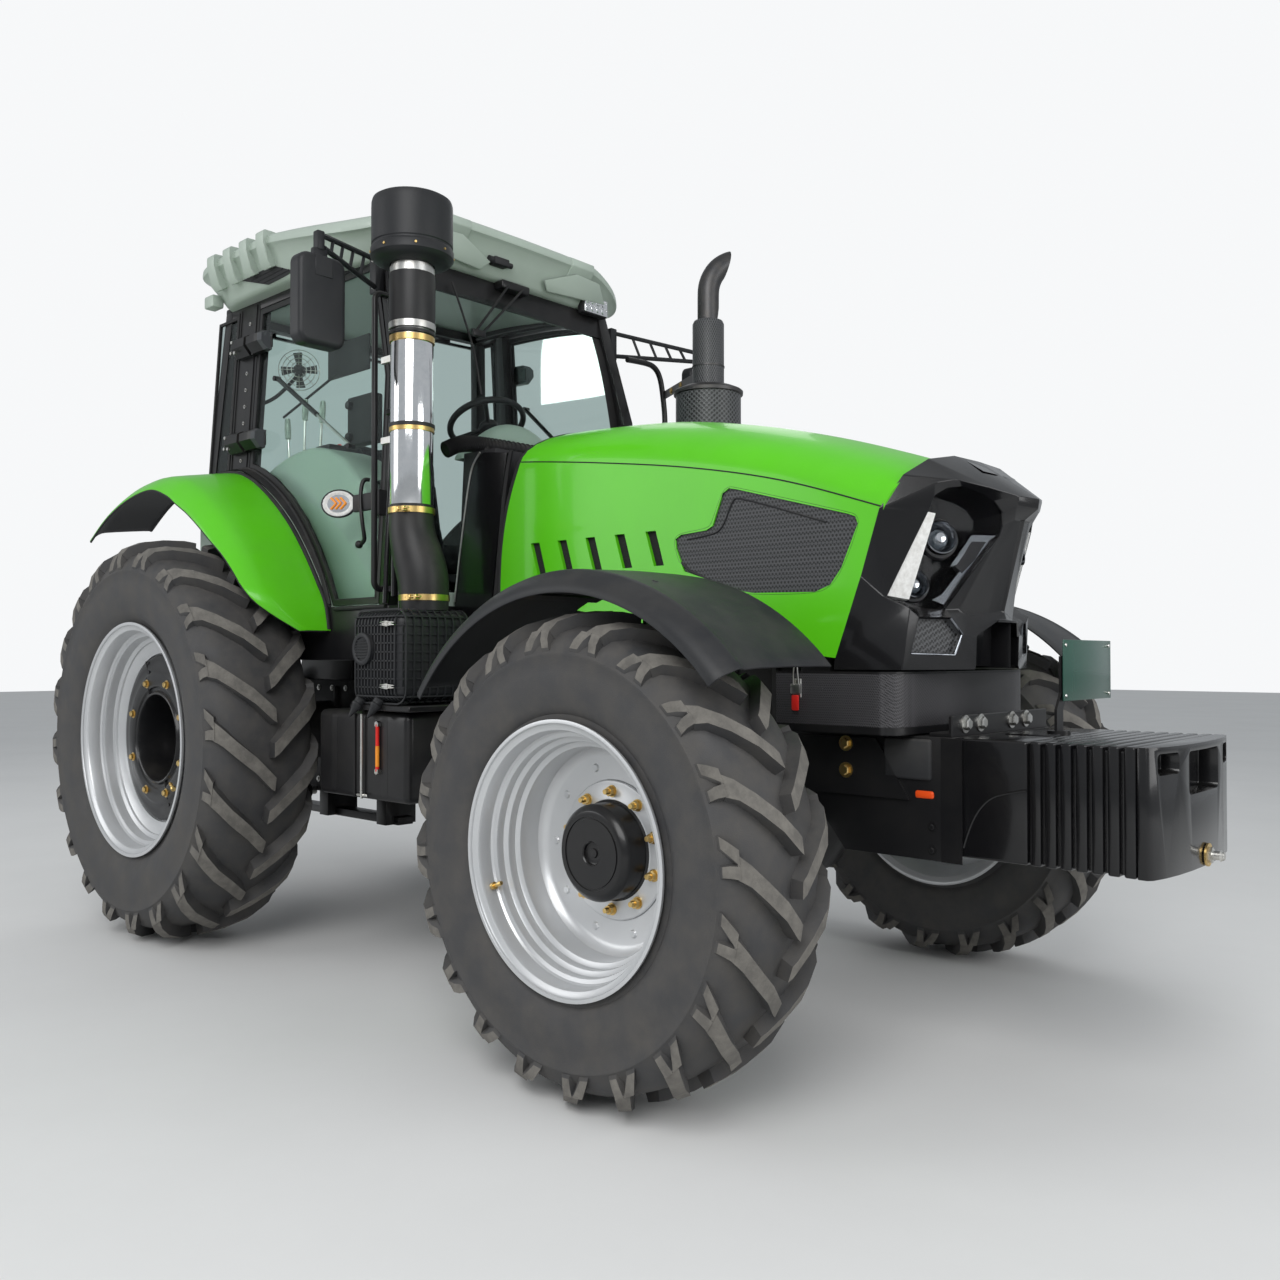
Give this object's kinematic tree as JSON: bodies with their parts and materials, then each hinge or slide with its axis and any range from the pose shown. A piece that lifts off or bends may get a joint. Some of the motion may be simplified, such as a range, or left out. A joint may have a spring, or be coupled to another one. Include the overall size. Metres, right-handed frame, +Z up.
{
  "type": "farm tractor",
  "caption": "Farm tractor with a closed cab, driven steered front axle, lifting bonnet, opening doors, front ballast block and rear linkage.",
  "frame": {"origin": "on the floor under the middle of the tractor's overall length and width", "axes": "+X forward to the ballast block, +Y to the tractor's left, +Z up"},
  "size_m": [5.1369, 2.528, 3.15],
  "materials": {
    "bonnet_green": "gloss",
    "bright_pipe": "polished",
    "cab_glass": "gloss",
    "cab_trim": "matte",
    "cast_iron": "painted",
    "exhaust_black": "matt",
    "frame_black": "satin",
    "gloss_black": "gloss",
    "hub_black": "gloss",
    "lamp_clear": "gloss",
    "matt_black": "matte",
    "plate_green": "satin",
    "rim_silver": "satin",
    "roof_grey": "satin",
    "seat_fabric": "woven",
    "tyre_black": "matte",
    "zinc_steel": "zinc plated"
  },
  "bodies": {
    "root": {"main_frame": "frame_black", "engine_block": "cast_iron", "gearbox": "cast_iron", "front_axle": "frame_black", "weight_carrier": "frame_black", "front_weight": "gloss_black", "tow_pin": "zinc_steel", "sign_plate": "plate_green", "radiator_band": "matt_black", "air_box": "matt_black", "fuel_tanks": "frame_black", "steps": "frame_black", "intake_cap": "matt_black", "intake_pipe": "bright_pipe", "exhaust": "exhaust_black", "cab_frame": "frame_black", "cab_roof": "roof_grey", "cab_floor": "cab_trim", "windscreen": "cab_glass", "cab_glass": "cab_glass", "cowl": "gloss_black", "controls": "cab_trim", "steering_wheel": "cab_trim", "driver_seat": "seat_fabric", "rear_fenders": "bonnet_green", "mirrors": "matt_black", "handrails": "frame_black", "lamps": "lamp_clear", "drawbar": "frame_black", "top_link": "frame_black", "link_pins": "zinc_steel"},
    "bonnet": {"bonnet": "bonnet_green", "bonnet_mesh": "matt_black", "nose_cowl": "gloss_black", "headlamps": "lamp_clear"},
    "steer_rod": {"steer_rod": "bright_pipe"},
    "lift_arms": {"lift_arms": "frame_black"},
    "knuckle_left": {"knuckle_left": "cast_iron", "front_fender_left": "matt_black"},
    "door_left": {"door_left": "frame_black", "door_glass_left": "cab_glass"},
    "lower_link_left": {"lower_link_left": "frame_black"},
    "front_wheel_left": {"front_tyre_left": "tyre_black", "front_rim_left": "rim_silver", "front_hub_left": "hub_black"},
    "rear_wheel_left": {"rear_tyre_left": "tyre_black", "rear_rim_left": "rim_silver", "rear_hub_left": "hub_black"},
    "knuckle_right": {"knuckle_right": "cast_iron", "front_fender_right": "matt_black"},
    "door_right": {"door_right": "frame_black", "door_glass_right": "cab_glass"},
    "lower_link_right": {"lower_link_right": "frame_black"},
    "front_wheel_right": {"front_tyre_right": "tyre_black", "front_rim_right": "rim_silver", "front_hub_right": "hub_black"},
    "rear_wheel_right": {"rear_tyre_right": "tyre_black", "rear_rim_right": "rim_silver", "rear_hub_right": "hub_black"}
  },
  "joints": [
    {"name": "steer_left", "type": "hinge", "parent": "root", "child": "knuckle_left", "pos_m": [1.2335, 0.8, 0.682], "axis": [0, 0, 1], "range_deg": [-35, 35]},
    {"name": "front_wheel_left_spin", "type": "hinge", "parent": "knuckle_left", "child": "front_wheel_left", "pos_m": [1.2335, 1.053, 0.682], "axis": [0, 1, 0], "continuous": true},
    {"name": "rear_wheel_left_spin", "type": "hinge", "parent": "root", "child": "rear_wheel_left", "pos_m": [-1.4665, 1.03, 0.876], "axis": [0, 1, 0], "continuous": true},
    {"name": "door_left_hinge", "type": "hinge", "parent": "root", "child": "door_left", "pos_m": [-1.4265, 0.76356, 1.44694], "axis": [0, -0.0674, 0.9977], "range_deg": [0, 70]},
    {"name": "lower_link_left_swing", "type": "hinge", "parent": "root", "child": "lower_link_left", "pos_m": [-1.5865, 0.31, 0.56], "axis": [0, 1, 0], "range_deg": [-8, 18]},
    {"name": "steer_right", "type": "hinge", "parent": "root", "child": "knuckle_right", "pos_m": [1.2335, -0.8, 0.682], "axis": [0, 0, 1], "range_deg": [-35, 35]},
    {"name": "front_wheel_right_spin", "type": "hinge", "parent": "knuckle_right", "child": "front_wheel_right", "pos_m": [1.2335, -1.053, 0.682], "axis": [0, 1, 0], "continuous": true},
    {"name": "rear_wheel_right_spin", "type": "hinge", "parent": "root", "child": "rear_wheel_right", "pos_m": [-1.4665, -1.03, 0.876], "axis": [0, 1, 0], "continuous": true},
    {"name": "door_right_hinge", "type": "hinge", "parent": "root", "child": "door_right", "pos_m": [-1.4265, -0.76356, 1.44694], "axis": [0, 0.0674, 0.9977], "range_deg": [-70, 0]},
    {"name": "lower_link_right_swing", "type": "hinge", "parent": "root", "child": "lower_link_right", "pos_m": [-1.5865, -0.31, 0.56], "axis": [0, 1, 0], "range_deg": [-8, 18]},
    {"name": "lift_arms_swing", "type": "hinge", "parent": "root", "child": "lift_arms", "pos_m": [-1.7665, 0, 1.08], "axis": [0, 1, 0], "range_deg": [-25, 55]},
    {"name": "bonnet_hinge", "type": "hinge", "parent": "root", "child": "bonnet", "pos_m": [0.0335, 0, 2.02], "axis": [0, -1, 0], "range_deg": [0, 45]},
    {"name": "steer_rod_slide", "type": "slide", "parent": "root", "child": "steer_rod", "axis": [0, 1, 0], "range_m": [-0.15, 0.15]}
  ],
  "couplings": [
    {"joint": "steer_right", "follows": "steer_left", "ratio": 1},
    {"joint": "steer_rod_slide", "follows": "steer_left", "m_per_rad": -0.2},
    {"joint": "lower_link_left_swing", "follows": "lift_arms_swing", "ratio": 0.3},
    {"joint": "lower_link_right_swing", "follows": "lift_arms_swing", "ratio": 0.3}
  ]
}
